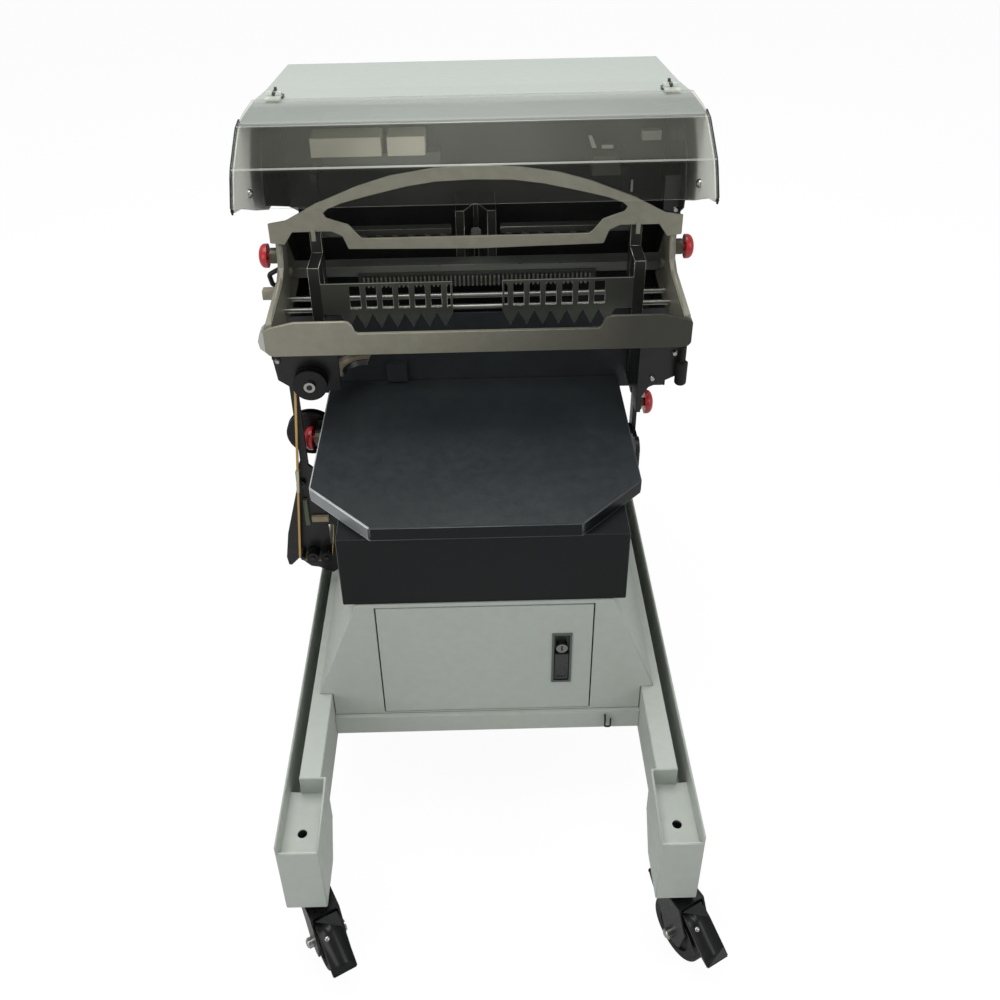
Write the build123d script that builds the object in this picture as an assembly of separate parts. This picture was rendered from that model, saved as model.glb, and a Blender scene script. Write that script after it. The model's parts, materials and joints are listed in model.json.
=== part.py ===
from build123d import *
import math
import os

os.makedirs("parts", exist_ok=True)

# Bag clipping machine, millimetres, X to the operator's right, Y away from the operator, Z up.
# Lengths below are taken from the front of the lower jaw rail (Y = 0) and from the floor (Z = 0);
# DEPTH_SHIFT then moves everything so that the whole machine is centred over the origin.
DEPTH_SHIFT = 15.0

# Driving sizes
FIT = 0.05                # running clearance of a shaft in its bore, per side
LEG_OUT = 300.0           # outer face of each leg
LEG_IN = 248.0            # inner face of each leg
LEG_TOP = 285.0
LEG_UNDER = 188.0         # underside of the long part of the leg
LEG_REAR = 532.0
LEG_FRONT = -LEG_REAR
FOOT_IN = 240.0           # the feet are a little wider than the legs
FOOT_UNDER = 138.0
FOOT_FLOOR = 250.0
FOOT_LONG = 74.0
FOOT_STEP = 112.0         # from the tip of the foot to the end of the box tube
SHEET = 3.0
CASTER_X = LEG_OUT - 30
CASTER_Y = LEG_REAR - 45
WHEEL_R = 50.0
WHEEL_WIDE = 32.0
TRAIL = 40.0
SWIVEL = 28.0             # degrees the casters are turned in the photo
PANEL_Y = -262.0          # front face of the pedestal
TABLE_Z = 629.0
TABLE_DEEP = 24.0
TABLE_HALF = 250.0
TABLE_MID = -9.5          # the shelf sits a little to the left
TABLE_FRONT = -263.0
TABLE_BACK = 135.0
CHAMFER = 97.0
BOX_HALF = 213.0
BOX_UNDER = 477.0
RAIL_HALF = 331.0
RAIL_LOW = 762.0
SIDE_IN = 312.0           # inner face of the light throat plates
SIDE_MID = 322.0          # light plate outer face, black plate inner face
SIDE_OUT = 325.0          # black plate outer face
SPLAY = 5.5               # the throat plates lean out by this much at the rail
ROD_R = 4.5
ROD_Z = 788.0
ROD_DEPTHS = (100, 141)
ARCH_Y = 131.0
HOOD_HALF = 345.0
HOOD_BACK = 572.0
HOOD_TOP = 1095.0         # highest line of the roof, just behind the window
CHEEK = 2.5


def save(name, solid, *more):
    """Write one node: a single solid, or a group of separate solids."""
    solids = [one for piece in (solid, *more) for one in (Pos(0, DEPTH_SHIFT, 0) * piece).solids()]
    export_step(solids[0] if len(solids) == 1 else Compound(solids), f"parts/{name}.step")


def block(x0, x1, y0, y1, z0, z1):
    return Pos((x0 + x1) / 2, (y0 + y1) / 2, (z0 + z1) / 2) * Box(abs(x1 - x0), abs(y1 - y0), abs(z1 - z0))


def plate_yz(points, x0, x1):
    """Flat plate drawn in depth and height, from x0 to x1."""
    face = make_face(Polyline(*[(0, y, z) for y, z in points], close=True))
    return extrude(Pos(min(x0, x1), 0, 0) * face, amount=abs(x1 - x0), dir=(1, 0, 0))


def plate_xz(points, y0, y1):
    """Flat plate drawn in width and height, from y0 to y1."""
    face = make_face(Polyline(*[(x, 0, z) for x, z in points], close=True))
    return extrude(Pos(0, y0, 0) * face, amount=y1 - y0, dir=(0, 1, 0))


def plate_xy(points, z0, z1):
    """Flat plate drawn in plan, from z0 to z1."""
    face = make_face(Polyline(*[(x, y, 0) for x, y in points], close=True))
    return extrude(Pos(0, 0, z0) * face, amount=z1 - z0, dir=(0, 0, 1))


def rod_x(x0, x1, y, z, r):
    return Pos((x0 + x1) / 2, y, z) * Rot(0, 90, 0) * Cylinder(r, abs(x1 - x0))


def rod_y(x, y0, y1, z, r):
    return Pos(x, (y0 + y1) / 2, z) * Rot(90, 0, 0) * Cylinder(r, abs(y1 - y0))


def rod_z(x, y, z0, z1, r):
    return Pos(x, y, (z0 + z1) / 2) * Cylinder(r, abs(z1 - z0))


def mirror_points(points):
    """Right half outline to a whole outline, left and right alike."""
    return points + [(-x, z) for x, z in reversed(points)]


def whole(shape):
    """The one solid of a shape that was cut or joined."""
    found = shape.solids()
    return found[0] if len(found) == 1 else shape


# Legs: an open-topped channel each, a box tube on the inner side and a deeper foot at both ends
def foot(end):
    """Hollow foot in the front (end = -1) or at the rear (end = 1), on the right side."""
    tip = LEG_FRONT if end < 0 else LEG_REAR
    back = tip - end * FOOT_LONG
    step = tip - end * FOOT_STEP
    lo, hi = min(tip, back), max(tip, back)
    shell = block(FOOT_IN, LEG_OUT, lo, hi, FOOT_UNDER, FOOT_FLOOR)
    hollow = block(FOOT_IN + SHEET, LEG_OUT - SHEET, lo + SHEET, hi - SHEET, FOOT_UNDER + 4, FOOT_FLOOR - SHEET)
    lip = block(FOOT_IN, LEG_OUT, tip, tip - end * SHEET, FOOT_FLOOR - 1, FOOT_FLOOR + 20)
    slope = [(tip, FOOT_UNDER), (tip, FOOT_FLOOR + 20), (step, LEG_TOP), (step, LEG_UNDER), (back, FOOT_UNDER)]
    inner = plate_yz(slope, FOOT_IN, FOOT_IN + SHEET)
    join = block(FOOT_IN, LEG_IN + SHEET, step - end * SHEET, step, LEG_UNDER, LEG_TOP)
    end_floor = block(FOOT_IN, LEG_OUT, back, step - end * SHEET, FOOT_FLOOR - SHEET, FOOT_FLOOR)
    stem = rod_z(CASTER_X, end * CASTER_Y, FOOT_UNDER - 1, FOOT_UNDER + 5, 6)
    access = rod_z(CASTER_X, end * CASTER_Y, FOOT_FLOOR - 5, FOOT_FLOOR + 1, 7)
    return shell - hollow + lip + inner + join + end_floor - stem - access


def right_leg():
    step_f = LEG_FRONT + FOOT_STEP
    step_r = LEG_REAR - FOOT_STEP
    web_end = FOOT_STEP - FOOT_LONG
    tube = block(LEG_IN, LEG_IN + 32, step_f, step_r, LEG_UNDER, LEG_TOP)
    tube -= block(LEG_IN + SHEET, LEG_IN + 29, step_f + SHEET, step_r - SHEET, LEG_UNDER + SHEET, LEG_TOP - SHEET)
    wall = block(LEG_OUT - SHEET, LEG_OUT, LEG_FRONT, LEG_REAR, LEG_UNDER, LEG_TOP)
    web = block(LEG_IN + 31, LEG_OUT, step_f - web_end, step_r + web_end, LEG_UNDER, LEG_UNDER + SHEET)
    return whole(tube + wall + web + foot(-1) + foot(1))


leg = right_leg()
save("right_leg", leg)
save("left_leg", whole(mirror(leg, about=Plane.YZ)))
beam = block(-LEG_IN, LEG_IN, -269, -209, 197, 235) - block(-LEG_IN + 1, LEG_IN - 1, -266, -212, 200, 232)
save("cross_beam", whole(beam))


# Casters: bolt-hole swivel casters, all four turned the same way as in the photo
def caster(name, x, y, brake):
    turn = Pos(x, y, 0) * Rot(0, 0, SWIVEL)
    # in the caster's own frame the wheel trails towards the operator (-Y)
    top = FOOT_UNDER
    stem = rod_z(0, 0, top - 20, top + 26, 5.9)
    plate = rod_z(0, 0, top - 12, top, 26)
    fork = block(-23, 23, -52, 24, top - 18, top - 13)
    cheek = [(-62, 40), (-50, 34), (-28, 38), (-14, 70), (18, top - 24), (24, top - 13), (-52, top - 13), (-70, 84)]
    for side in (-1, 1):
        fork += plate_yz(cheek, side * 23, side * 19.5)
    crown = rod_z(0, 0, top - 15, top - 11, 22)
    # bent cover that follows the wheel from behind its top to the front
    ring = Rot(0, 90, 0) * (Cylinder(WHEEL_R + 4.6, 42) - Cylinder(WHEEL_R + 3, 44))
    cover = Pos(0, -TRAIL, WHEEL_R) * ring & plate_yz([(-TRAIL, WHEEL_R), (-8, 110), (-60, 116), (-120, 72)], -22, 22)
    axle = rod_x(-25, 25, -TRAIL, WHEEL_R, 5)
    nuts = rod_x(-30, -22, -TRAIL, WHEEL_R, 8) + rod_x(22, 30, -TRAIL, WHEEL_R, 8)
    save(f"{name}_caster_fork", turn * whole(stem + plate + crown + fork + cover + axle + nuts))
    wheel = Rot(0, 90, 0) * Cylinder(WHEEL_R, WHEEL_WIDE)
    wheel = fillet(wheel.edges(), 7)
    wheel -= Rot(0, 90, 0) * Cylinder(5 + FIT, WHEEL_WIDE + 2)
    for side in (-1, 1):
        wheel -= Pos(side * WHEEL_WIDE / 2, 0, 0) * Rot(0, 90, 0) * (Cylinder(32, 8) - Cylinder(13, 9))
    save(f"{name}_caster_wheel", turn * Pos(0, -TRAIL, WHEEL_R) * whole(wheel))
    if brake:
        pedal = [(-45, 109), (-52, 118), (-74, 108), (-110, 84), (-121, 76), (-119, 71), (-104, 77), (-70, 103)]
        lever = plate_yz(pedal, -18.8, 18.8)
        lever += rod_x(-18.5, 18.5, -50, 111, 4)
        save(f"{name}_caster_brake", turn * whole(lever))


caster("front_left", -CASTER_X, -CASTER_Y, True)
caster("front_right", CASTER_X, -CASTER_Y, True)
caster("rear_left", -CASTER_X, CASTER_Y, False)
caster("rear_right", CASTER_X, CASTER_Y, False)


# Pedestal: flared sheet-metal cabinet that stands on the legs, with a hinged door
DOOR_X = 165.0
DOOR_LOW = 240.5
DOOR_HIGH = 469.5
PEDESTAL_BACK = 160.0
HINGE_X = -158.0
HINGE_Y = -255.0
LATCH_X = 118.5
LATCH_Z = 356.0


def pedestal():
    outer = mirror_points([(195, 477), (268, 286), (247, 285), (247, 236)])
    inner = mirror_points([(193, 474), (264, 289), (244, 289), (244, 239)])
    shell = plate_xz(outer, PANEL_Y, PEDESTAL_BACK) - plate_xz(inner, PANEL_Y + 2.5, PEDESTAL_BACK - 2.5)
    shell -= block(-DOOR_X - 2, DOOR_X + 2, PANEL_Y - 1, PANEL_Y + 4, DOOR_LOW - 1.5, DOOR_HIGH + 1.5)
    for z0, z1 in ((DOOR_LOW - 4.5, DOOR_LOW + 8), (DOOR_HIGH - 8, DOOR_HIGH + 6)):
        shell += rod_z(HINGE_X, HINGE_Y, z0, z1, 3)
    return whole(shell)


def door():
    pan = block(-DOOR_X, DOOR_X, PANEL_Y, PANEL_Y + 15, DOOR_LOW, DOOR_HIGH)
    pan -= block(-DOOR_X + 2, DOOR_X - 2, PANEL_Y + 2, PANEL_Y + 16, DOOR_LOW + 2, DOOR_HIGH - 2)
    for z0, z1 in ((DOOR_LOW, DOOR_LOW + 12), (DOOR_HIGH - 12, DOOR_HIGH)):
        pan += block(-DOOR_X, HINGE_X + 7, PANEL_Y, PANEL_Y + 14, z0, z1)
        pan -= rod_z(HINGE_X, HINGE_Y, z0 - 1, z0 + 9 if z0 < 300 else z1 + 1, 3 + FIT)
    pan -= rod_z(HINGE_X, HINGE_Y, DOOR_HIGH - 9, DOOR_HIGH + 1, 3 + FIT)
    pan -= rod_z(HINGE_X, HINGE_Y, DOOR_LOW - 1, DOOR_LOW + 9, 3 + FIT)
    pan -= block(LATCH_X - 14, LATCH_X + 14, PANEL_Y - 1, PANEL_Y + 3, LATCH_Z - 52, LATCH_Z + 52)
    return whole(pan)


def latch():
    rim = block(LATCH_X - 15.5, LATCH_X + 15.5, PANEL_Y - 2, PANEL_Y, LATCH_Z - 54, LATCH_Z + 54)
    cup = block(LATCH_X - 13.8, LATCH_X + 13.8, PANEL_Y - 1, PANEL_Y + 16, LATCH_Z - 51.8, LATCH_Z + 51.8)
    pocket = block(LATCH_X - 12, LATCH_X + 12, PANEL_Y - 3, PANEL_Y + 8, LATCH_Z - 50, LATCH_Z + 50)
    lock = rod_y(LATCH_X, PANEL_Y - 2, PANEL_Y + 9, LATCH_Z + 22, 9)
    pins = rod_x(LATCH_X - 13, LATCH_X - 9, PANEL_Y + 3, LATCH_Z + 5, 1.5)
    pins += rod_x(LATCH_X + 9, LATCH_X + 13, PANEL_Y + 3, LATCH_Z + 5, 1.5)
    return whole(rim + cup - pocket + lock + pins)


def paddle():
    lever = block(LATCH_X - 11, LATCH_X + 11, PANEL_Y - 0.5, PANEL_Y + 4.8, LATCH_Z - 48, LATCH_Z + 8)
    lever -= block(LATCH_X - 8, LATCH_X + 8, PANEL_Y - 1.5, PANEL_Y + 1.5, LATCH_Z - 44, LATCH_Z - 22)
    lever = lever - rod_x(LATCH_X - 12, LATCH_X - 8.5, PANEL_Y + 3, LATCH_Z + 5, 1.5 + FIT)
    lever = lever - rod_x(LATCH_X + 8.5, LATCH_X + 12, PANEL_Y + 3, LATCH_Z + 5, 1.5 + FIT)
    return whole(lever)


save("cabinet", pedestal())
save("cabinet_door", door())
save("door_latch", latch())
save("latch_paddle", paddle())

# Wire hook hanging in front of the cross beam
hook_path = FilletPolyline((191.5, -269, 228), (191.5, -275, 228), (191.5, -275, 206), (200.5, -275, 206),
                           (200.5, -275, 224), radius=2.5)
hook = sweep(Plane(origin=(191.5, -269, 228), z_dir=(0, -1, 0)) * Circle(1.5), path=hook_path)
save("cable_hook", whole(hook))

# Control box and the octagonal shelf on top of it
box_body = block(-BOX_HALF, BOX_HALF, -259, 130, BOX_UNDER, TABLE_Z - TABLE_DEEP)
box_body -= block(-BOX_HALF + 2, BOX_HALF - 2, -257, 128, BOX_UNDER + 2, TABLE_Z - TABLE_DEEP - 2)
save("control_box", whole(box_body))


def octagon(grow, z0, z1):
    h = TABLE_HALF + grow
    f = TABLE_FRONT - grow
    c = CHAMFER + grow * 0.586
    back = TABLE_BACK + min(grow, 0)
    outline = [(-h, back), (-h, f + c), (-h + c, f), (h - c, f), (h, f + c), (h, back)]
    return Pos(TABLE_MID, 0, 0) * plate_xy(outline, z0, z1)


table = octagon(0, TABLE_Z - TABLE_DEEP, TABLE_Z)
table -= octagon(-3, TABLE_Z - TABLE_DEEP - 1, TABLE_Z - SHEET)
ribs = block(-180, 180, -150, -144, TABLE_Z - TABLE_DEEP, TABLE_Z - 1)
ribs += block(-180, 180, 60, 66, TABLE_Z - TABLE_DEEP, TABLE_Z - 1)
save("table_top", whole(table + ribs))

# Dark wall behind the table, with a small block on it, and the dark wall inside the head
back_wall = block(-SIDE_MID, SIDE_MID, TABLE_BACK, TABLE_BACK + SHEET, TABLE_Z - TABLE_DEEP, 758)
save("back_wall", whole(back_wall))
save("wall_block", block(-158, -124, TABLE_BACK - 12, TABLE_BACK, TABLE_Z + 3, TABLE_Z + 39))
inner_wall = block(-SIDE_MID, SIDE_MID, 300, 300 + SHEET, 640, HOOD_TOP - 25)
for x in (-258, 243):
    inner_wall += block(x - 5, x + 5, 190, 301, 970, 985) + block(x - 5, x + 5, 190, 200, 915, 985)
inner_wall -= block(-SIDE_MID - 1, -SIDE_MID + 13, 299, 304, 862, 884)
save("inner_wall", whole(inner_wall))
save("beige_plates", block(-268, -152, 250, 300, 990, 1022), block(-142, -80, 250, 300, 990, 1022))


# Head side plates: black outside, light throat plates inside
UPPER_BUTTON = (157.0, 860.0)


ROOF_LINE = [(108, HOOD_TOP - 1), (146, HOOD_TOP), (238, HOOD_TOP - 4), (334, HOOD_TOP - 17), (HOOD_BACK, HOOD_TOP - 38)]


def roof_height(y):
    """Top of the hood roof over the depth y."""
    for (ya, za), (yb, zb) in zip(ROOF_LINE, ROOF_LINE[1:]):
        if y <= yb:
            return za + (zb - za) * (y - ya) / (yb - ya)
    return ROOF_LINE[-1][1]


# outline of the right black plate from the front top round to the front bottom, and of the left one,
# which is open behind the end of the arch
black = [(105, 985), (118, 1025), (146, HOOD_TOP - 41), (180, HOOD_TOP - 19)]
black += [(y, roof_height(y) - CHEEK) for y in (200, 238, 334, 560)]
black += [(560, 640), (500, 605), (TABLE_BACK, 605), (TABLE_BACK, 758), (180, 764), (180, 898)]
right_front = [(ARCH_Y + 4, 905), (ARCH_Y + 4, 930), (112, 945)]
left_front = [(250, 876), (300, 860), (395, 826), (405, 832), (300, 886), (200, 928), (135, 955), (112, 964)]
light = [(2, 770), (2, 816), (108, 838), (128, 852), (135, 876), (135, 905), (166, 905), (180, 884), (236, 802)]
light += [(236, 772), (150, 764)]
plan = [(SIDE_IN, 240), (SIDE_MID, 240), (SIDE_MID, 128), (SIDE_MID + SPLAY, 2), (SIDE_IN + SPLAY, 2), (SIDE_IN, 128)]
for side, name, front in ((-1, "left", left_front), (1, "right", right_front)):
    dark = plate_yz(black + front, side * SIDE_MID, side * SIDE_OUT)
    if side > 0:
        dark += block(SIDE_MID - 25, SIDE_MID, ARCH_Y + 4, ARCH_Y + 7, 905, 990)
        dark += block(SIDE_MID - 3, SIDE_MID, ARCH_Y + 4, 200, 905, 990)
    save(f"{name}_side_plate", whole(dark))
    bent = plate_xy([(side * x, y) for x, y in plan], 760, 910)
    grey = whole(bent & plate_yz(light, side * (SIDE_IN - 5), side * (SIDE_MID + 10)))
    for rod_y_at in ROD_DEPTHS:
        grey -= rod_x(side * (SIDE_IN - 1), side * (SIDE_IN + 4.5), rod_y_at, ROD_Z, ROD_R)
    grey += rod_x(side * (SIDE_IN - 5), side * (SIDE_IN + 1), 172, 824, 8)
    if side < 0:
        grey += block(-SIDE_MID - 22, -SIDE_MID - 1, 86, 102, 815, 831)
    save(f"{name}_throat_plate", whole(grey))


# Lower jaw: front rail with raised ears and rounded ends
def rail():
    half = [(0, 38), (186, 38), (190, 41), (193, 50), (198, 57), (206, 59), (283, 59), (322, 50), (RAIL_HALF, 44)]
    half += [(RAIL_HALF, 8), (326, 2), (318, 0), (0, 0)]
    right = plate_xz([(x, RAIL_LOW + rise) for x, rise in half], -4, 2)
    lip = block(0, 318, 2, 22, RAIL_LOW, RAIL_LOW + 4)
    ends = block(SIDE_MID + SPLAY, RAIL_HALF, 2, 26, RAIL_LOW + 8, RAIL_LOW + 44)
    one = right + lip + ends
    # rounded guard on the left end
    guard = [(-RAIL_HALF, 45), (-338, 38), (-342, 24), (-340, 11), (-RAIL_HALF, 3)]
    guard = plate_xz([(x, RAIL_LOW + rise) for x, rise in guard], 2, 26)
    return whole(one + mirror(one, about=Plane.YZ) + guard)


save("front_rail", rail())


# Upper jaw: arch plate with a long window
def arch():
    upper = [(0, 1016), (69, 1011), (131, 1001), (181, 986), (225, 968), (250, 958), (276, 944), (300, 931), (329, 926)]
    lower = [(329, 893), (306, 890), (292, 911), (230, 911), (213, 903), (205, 880), (0, 876)]
    solid = plate_xz(upper + lower, ARCH_Y, ARCH_Y + 4)
    slot = [(0, 992), (60, 990), (107, 983), (167, 969), (209, 958), (232, 949), (240, 942), (236, 934), (202, 922)]
    slot += [(186, 902), (181, 898), (0, 898)]
    solid -= plate_xz(slot, ARCH_Y - 1, ARCH_Y + 5)
    solid += block(255, 262, ARCH_Y - 3, ARCH_Y, 896, 915)
    return whole(solid + mirror(solid, about=Plane.YZ))


save("arch_plate", arch())
save("upper_beam", block(-SIDE_IN, SIDE_IN, 184, 216, 805, 823))


def fine_comb():
    comb = block(-200, 200, 178, 184, 788, 812)
    for i in range(53):
        x = -190 + i * 7.3
        comb += block(x - 1.5, x + 1.5, 170, 179, 790, 809)
    return whole(comb)


save("fine_comb", fine_comb())
save("guide_rods", *[rod_x(-SIDE_IN - 4, SIDE_IN + 4, y, ROD_Z, ROD_R) for y in ROD_DEPTHS])


# Carriages that gather the neck of the bag: a column on the two rods, with combs above and below
PITCH = 26.0
COMB_START = -40.0
COMB_COUNT = 7


def carriage(side):
    """Left carriage as drawn, the right one is its mirror image."""
    body = block(-267, -249, 84, 158, 772, 870) + block(-267, -249, 142, 158, 869, 916)
    body -= block(-268, -248, 100, 128, 812, 860)
    end = COMB_START - PITCH * COMB_COUNT
    outline = [(-251, 842), (-251, 787), (end, 787)]
    for i in range(COMB_COUNT):
        a = end + i * PITCH
        outline += [(a + PITCH * 0.5, 761), (a + PITCH, 787)]
    outline.append((COMB_START, 842))
    body += plate_xz(outline, 84, 87)
    for i in range(COMB_COUNT):
        a = end + i * PITCH
        body -= block(a + PITCH * 0.5 + 4.5, a + PITCH * 1.5 - 4.5 if i < COMB_COUNT - 1 else a + PITCH - 3,
                      83, 88, 797, 837)
    upper = [(end, 173), (end, 170)]
    for i in range(COMB_COUNT):
        a = end + i * PITCH
        upper += [(a + PITCH * 0.5, 146), (a + PITCH, 170)]
    upper.append((COMB_START, 173))
    body += plate_xy(upper, 888, 892) + block(-267, COMB_START, 155, 173, 891, 902)
    for y in ROD_DEPTHS:
        body -= rod_x(-268, -248, y, ROD_Z, ROD_R + FIT)
    body = whole(body)
    return body if side < 0 else whole(mirror(body, about=Plane.YZ))


save("left_carriage", carriage(-1))
save("right_carriage", carriage(1))


# Clip head in the middle, hidden behind the bag in the photo and therefore guessed
def clip_head():
    body = block(-34, 34, 217, 300, 806, 905)
    body -= plate_xy([(-20, 216), (20, 216), (4, 247), (-4, 247)], 800, 910)
    body -= block(-9, 9, 230, 294, 838, 862)
    return whole(body)


save("clip_head", clip_head())
ram = block(-9 + FIT, 9 - FIT, 250, 292, 838 + FIT, 862 - FIT)
save("clip_ram", whole(ram))


# Hood: roof sheet, two cheeks and a back sheet; the window is a bent sheet hinged on the roof
BOLT_Y = 94.0
BOLT_Z = HOOD_TOP - 103


def hood():
    front = [(108, 1.5), (92, 4.5), (60, 21.5), (26, 40.5), (16.5, 50), (0, 74), (-8, 86), (-4, 93)]
    front = [(y, HOOD_TOP - drop) for y, drop in front]
    lower = [(40, 990), (130, 950), (225, 912), (HOOD_BACK, 900)]
    cheek = front + lower + ROOF_LINE[:0:-1]
    body = plate_yz(cheek, HOOD_HALF - CHEEK, HOOD_HALF)
    body += plate_yz(cheek, -HOOD_HALF, -HOOD_HALF + CHEEK)
    under = [(y, z - CHEEK) for y, z in reversed(ROOF_LINE)]
    body += plate_yz(ROOF_LINE + under, -HOOD_HALF, HOOD_HALF)
    body += block(-HOOD_HALF, HOOD_HALF, HOOD_BACK - CHEEK, HOOD_BACK, 900, HOOD_TOP - 39)
    for side in (-1, 1):
        body -= rod_x(side * (HOOD_HALF - 5), side * (HOOD_HALF + 2), BOLT_Y, BOLT_Z, 4)
    return whole(body)


save("hood", hood())
AXIS_Y = 238.0            # hinge line of the window
AXIS_Z = HOOD_TOP + 5
HINGE_IN = 33.0           # hinges in from the cheeks


def window():
    top = [(92, -1.5), (146, 1.5), (222, -1.5), (222, 1), (146, 4), (90, 1)]
    face = [(92, -1.5), (21, -40), (-11, -85), (-14, -84), (18.5, -37.5), (90, 1)]
    sheet = plate_yz([(y, HOOD_TOP + rise) for y, rise in top], -HOOD_HALF, HOOD_HALF)
    sheet += plate_yz([(y, HOOD_TOP + rise) for y, rise in face], -HOOD_HALF, HOOD_HALF)
    for x in (HINGE_IN - HOOD_HALF, HOOD_HALF - HINGE_IN):
        sheet += block(x - 12, x + 12, AXIS_Y - 26, AXIS_Y - 10, AXIS_Z - 5.5, AXIS_Z - 1)
        tab = block(x - 12, x + 12, AXIS_Y - 12, AXIS_Y, AXIS_Z - 4, AXIS_Z + 2)
        tab += rod_x(x - 12, x + 12, AXIS_Y, AXIS_Z, 4)
        tab -= rod_x(x - 13, x + 13, AXIS_Y, AXIS_Z, 2 + FIT)
        sheet += tab - block(x - 3, x + 3, AXIS_Y - 8, AXIS_Y + 5, AXIS_Z - 10, AXIS_Z + 10)
    return whole(sheet)


def window_hinge(x):
    rear = AXIS_Y + 20
    foot_plate = block(x - 12, x + 12, AXIS_Y + 6, rear, roof_height(rear) - 0.2, AXIS_Z - 6)
    knuckle = block(x - 2.6, x + 2.6, AXIS_Y - 3, AXIS_Y + 12, AXIS_Z - 7.5, AXIS_Z + 3)
    knuckle += rod_x(x - 2.6, x + 2.6, AXIS_Y, AXIS_Z, 4)
    pin = rod_x(x - 12, x + 12, AXIS_Y, AXIS_Z, 2)
    peg = rod_z(x, AXIS_Y + 14, AXIS_Z - 8, AXIS_Z + 6, 2.5)
    slab = plate_yz([(y, z) for y, z in ROOF_LINE] + [(HOOD_BACK, 900), (100, 900)], x - 20, x + 20)
    return whole(foot_plate + knuckle + pin + peg - slab)


save("window", window())
save("window_hinges", window_hinge(HINGE_IN - HOOD_HALF), window_hinge(HOOD_HALF - HINGE_IN))


def dome_bolt(side):
    outline = Polyline((-9, 0), (-9, 4), (-6, 7), (-CHEEK, 7), (-CHEEK, 4), (0, 4), (0, 7), (2, 6.5), (4, 3),
                       (4, 0), close=True)
    bolt = Pos(HOOD_HALF, BOLT_Y, BOLT_Z) * revolve(make_face(outline), axis=Axis.X)
    return whole(bolt if side > 0 else mirror(bolt, about=Plane.YZ))


save("hood_bolts", dome_bolt(-1), dome_bolt(1))


# Push buttons: red mushroom heads on short collars, pressed along X
BUTTON_R = 20.0
RIGHT_LOW_BUTTON = (TABLE_HALF + 20, 52.0, 626.0)
LEFT_LOW_BUTTON = (-BOX_HALF - 65, 34.0, 580.0)


def mushroom(side, x, y, z):
    """Head whose back face is at x; side tells which way it points."""
    outline = Polyline((15, 0), (-8, 0), (-8, 7 - FIT), (0, 7 - FIT), (0, BUTTON_R), (6, BUTTON_R), (9, 18.6),
                       (11.5, 16), (13.5, 11.5), (14.7, 6), close=True)
    head = revolve(make_face(outline), axis=Axis.X)
    return whole(Pos(x, y, z) * (head if side > 0 else mirror(head, about=Plane.YZ)))


def collar(side, x, y, z, length):
    ring = rod_x(x - side * length, x, y, z, 13)
    return ring - rod_x(x - side * 12, x + side, y, z, 7)


collars = []
for side in (-1, 1):
    y, z = UPPER_BUTTON
    x = side * (SIDE_MID + 14)
    collars.append(whole(collar(side, x, y, z, 14)))
    save("left_upper_button" if side < 0 else "right_upper_button", mushroom(side, x + side * 4.5, y, z))
for side, (x, y, z), name, long in ((1, RIGHT_LOW_BUTTON, "right_lower_button", 8),
                                    (-1, LEFT_LOW_BUTTON, "left_lower_button", 13)):
    collars.append(whole(collar(side, x, y, z, long)))
    save(name, mushroom(side, x + side * 4.5, y, z))
save("button_collars", *collars)


# Feed side on the left: bracket, guide pulley, tie reel, tie tape, tension lever and rollers
PULLEY = (-268.0, 712.0)
REEL = (-290.0, 572.0)
REEL_R = 42.0
PIVOT = (-308.0, 505.0)
ROLLER_A = (-303.0, 352.0)
ROLLER_B = (-279.0, 352.0)
GUIDE_PIN = (-321.0, 350.0)
GROOVE = 9.0              # groove radius of both rollers
PULLEY_GROOVE = 22.0
REEL_GROOVE = 34.0


def left_bracket():
    inner = -BOX_HALF - 9     # edge of the bracket beside the control box
    outline = [(-326, RAIL_LOW), (-321, 712), (-305, 700), (-305, 552), (-316, 528), (-318, 480), (-331, 336)]
    outline += [(-312, 316), (-298, 313), (-274, 300), (-265, 306), (-222, 420), (-222, 470), (inner, 475)]
    outline += [(inner, 530), (-280, 530)]
    outline += [(-292, 542), (-292, 690), (inner, 690), (inner, RAIL_LOW)]
    plate = plate_xz(outline, 8, 14) - block(-272, -257, 7, 15, 364, 412)
    plate += block(-309.5, -302, 2, 9, 416, 472) + block(-298, -269, 2, 9, 423, 434)
    plate += block(inner - 8, -BOX_HALF, 8, 40, 480, 530)
    plate += block(-326, inner, 8, 22, RAIL_LOW - 12, RAIL_LOW)
    # second plate behind the first one, for the reel and the push button
    plate += block(inner - 8, -BOX_HALF, 39, 57, 500, 600)
    plate += block(REEL[0] + 16, inner, 52, 57, 500, 602) + block(REEL[0] - 6, REEL[0] + 17, 55, 57, 550, 577)
    plate += block(LEFT_LOW_BUTTON[0] + 13, inner, 15, 55, 562, 598)
    plate += rod_y(REEL[0], 55, 76, REEL[1], 5)
    plate += rod_y(PULLEY[0], -14, 9, PULLEY[1], 5)
    plate += rod_y(PULLEY[0], -17, -12, PULLEY[1], 9)
    for x, z in (ROLLER_A, ROLLER_B):
        plate += rod_y(x, -14, 9, z, 4)
    plate += rod_y(PIVOT[0], -1, 9, PIVOT[1], 4) + rod_y(GUIDE_PIN[0], -10, 9, GUIDE_PIN[1], 3.6)
    return whole(plate)


def pulley(x, z, r, groove, bore, y0, y1):
    solid = rod_y(x, y0, y1, z, r)
    ring = rod_y(x, y0 + 4, y1 - 4, z, r + 1) - rod_y(x, y0 + 4, y1 - 4, z, groove)
    return whole(solid - ring - rod_y(x, y0 - 1, y1 + 1, z, bore + FIT))


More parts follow.
